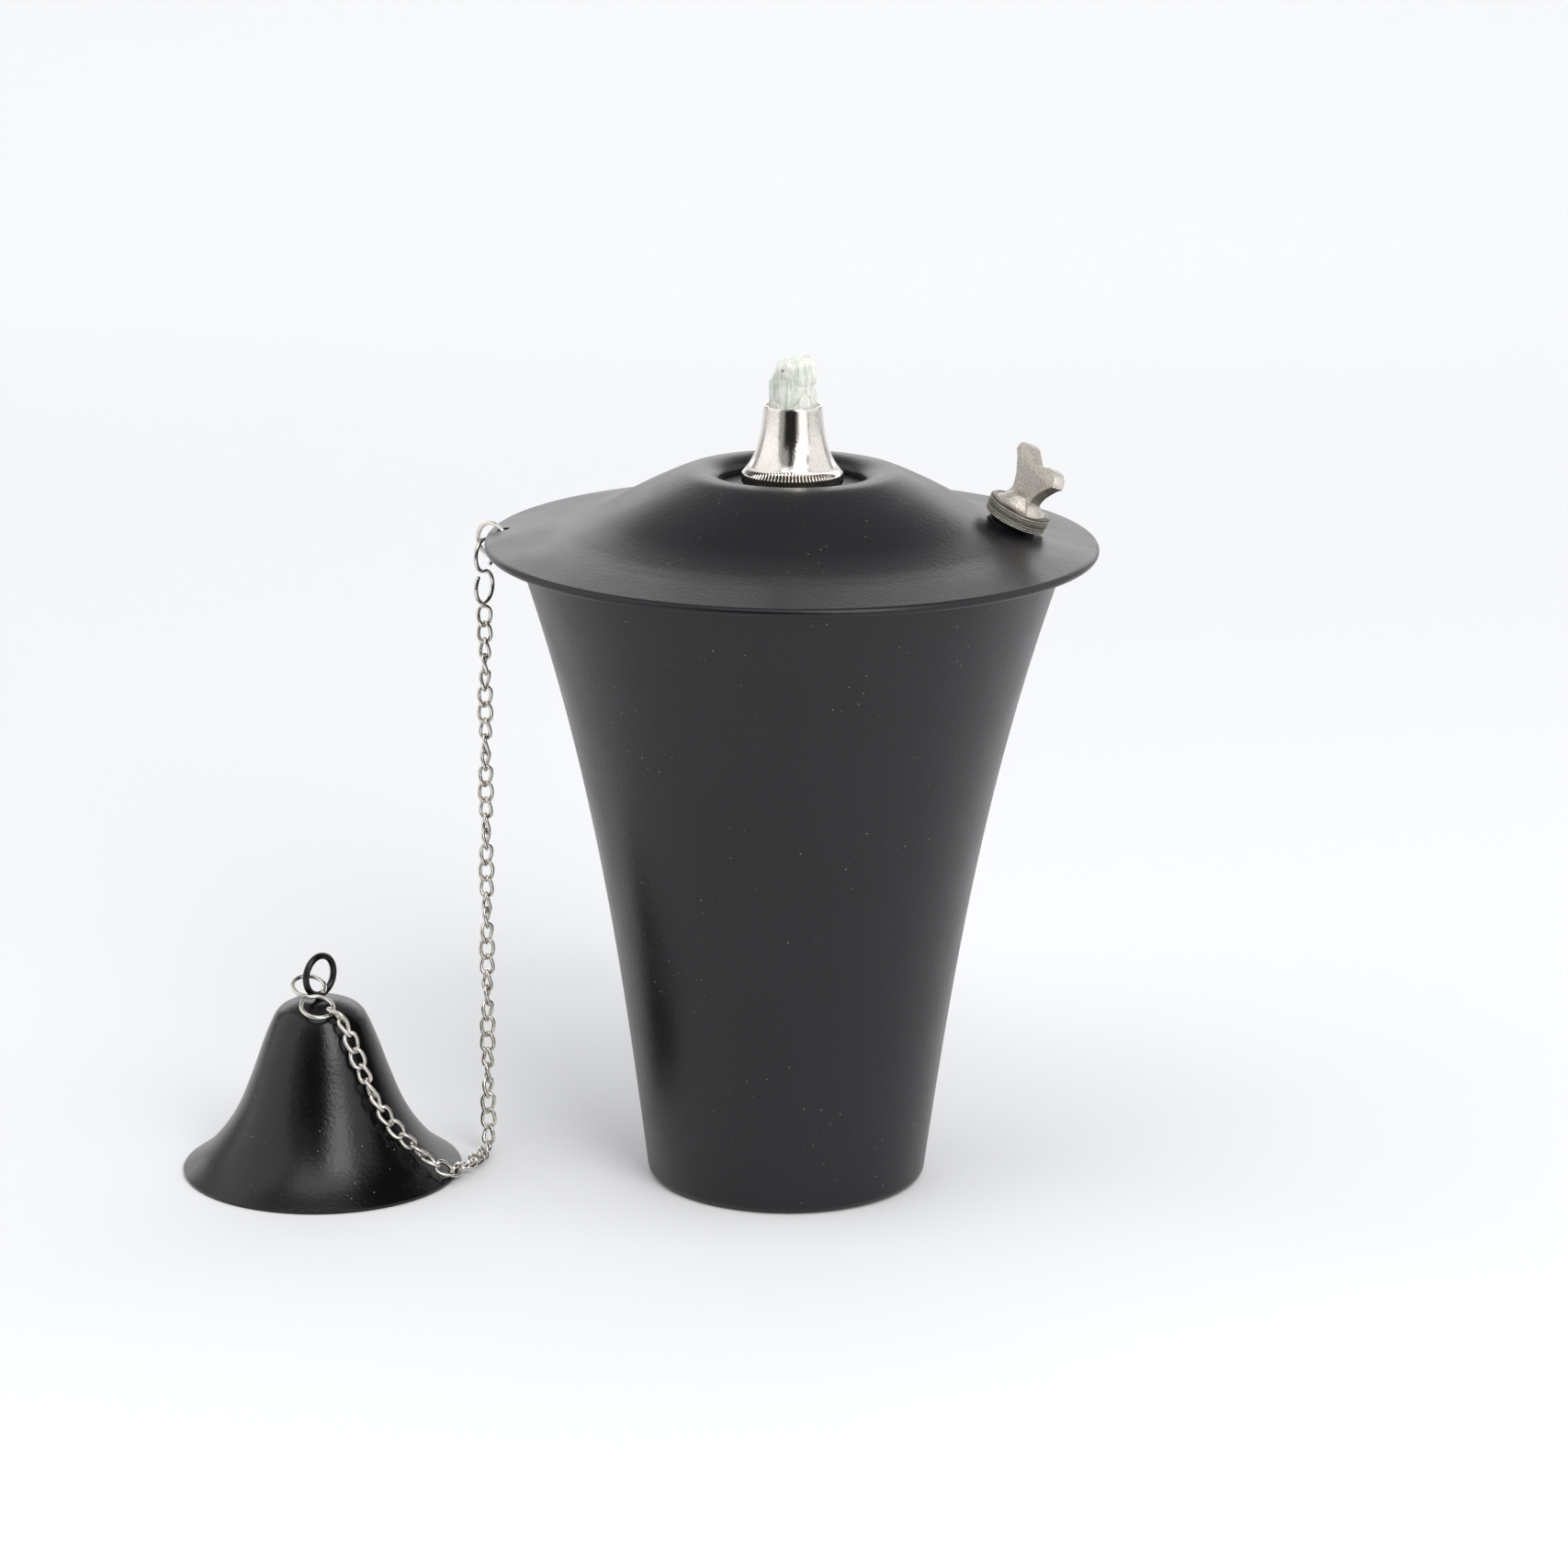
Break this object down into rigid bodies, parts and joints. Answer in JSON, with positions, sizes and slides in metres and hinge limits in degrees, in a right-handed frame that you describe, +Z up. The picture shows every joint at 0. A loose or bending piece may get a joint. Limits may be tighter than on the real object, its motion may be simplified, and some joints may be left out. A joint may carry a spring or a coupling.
{
  "type": "oil torch",
  "caption": "Table-standing metal oil torch with a flared tank, domed lid, screw-in wick burner, wing-headed filler plug and a bell snuffer on a chain.",
  "frame": {"origin": "centre of the tank's flat base, on the surface that the torch stands on", "axes": "+Z up along the tank's axis; +X to the right, away from the snuffer; -Y is the front"},
  "size_m": [0.2268, 0.15, 0.208],
  "materials": {
    "black_paint": "satin black powder coat with fine orange peel",
    "burner_nickel": "bright nickel plate with fine pitting",
    "nickel_wire": "bright nickel-plated steel wire",
    "cast_wing": "bead-blasted zinc casting, dull nickel plated",
    "seal_rubber": "matt black sealing rubber",
    "wick_fibre": "matted white glass-fibre wick"
  },
  "bodies": {
    "torch": {"tank_body": "black_paint", "tank_base": "black_paint", "lid": "black_paint", "burner_collar": "black_paint", "filler_boss": "black_paint", "rim_ring": "nickel_wire", "upper_s_hook": "nickel_wire", "chain_hanging": "nickel_wire"},
    "burner_seal": {"burner_gasket": "seal_rubber"},
    "burner": {"burner_cone": "burner_nickel", "wick_tube": "burner_nickel"},
    "wick_body": {"wick": "wick_fibre"},
    "filler_seal": {"filler_gasket": "seal_rubber"},
    "filler": {"wing_screw": "cast_wing"},
    "snuffer": {"snuffer_cap": "black_paint", "snuffer_eye": "black_paint", "eye_washer": "nickel_wire", "eye_nut": "nickel_wire", "lower_s_hook": "nickel_wire", "chain_resting": "nickel_wire"}
  },
  "joints": [
    {"name": "burner_rise", "type": "slide", "parent": "torch", "child": "burner_seal", "axis": [0, 0, 1], "range_m": [0, 0.00625]},
    {"name": "burner_turn", "type": "hinge", "parent": "burner_seal", "child": "burner", "pos_m": [0, 0, 0.18], "axis": [0, 0, 1], "range_deg": [0, 1440]},
    {"name": "wick_feed", "type": "slide", "parent": "burner", "child": "wick_body", "axis": [0, 0, 1], "range_m": [-0.01, 0.015]},
    {"name": "filler_rise", "type": "slide", "parent": "torch", "child": "filler_seal", "axis": [0.4118, -0.0951, 0.9063], "range_m": [0, 0.00625]},
    {"name": "filler_turn", "type": "hinge", "parent": "filler_seal", "child": "filler", "pos_m": [0.05394, -0.00245, 0.16836], "axis": [0.4118, -0.0951, 0.9063], "range_deg": [0, 1440]},
    {"name": "snuffer_lift", "type": "slide", "parent": "torch", "child": "snuffer", "axis": [0, 0, 1], "range_m": [0, 0.03]}
  ],
  "couplings": [
    {"joint": "burner_rise", "follows": "burner_turn", "m_per_rad": 0.00023873},
    {"joint": "filler_rise", "follows": "filler_turn", "m_per_rad": 0.00023873}
  ]
}
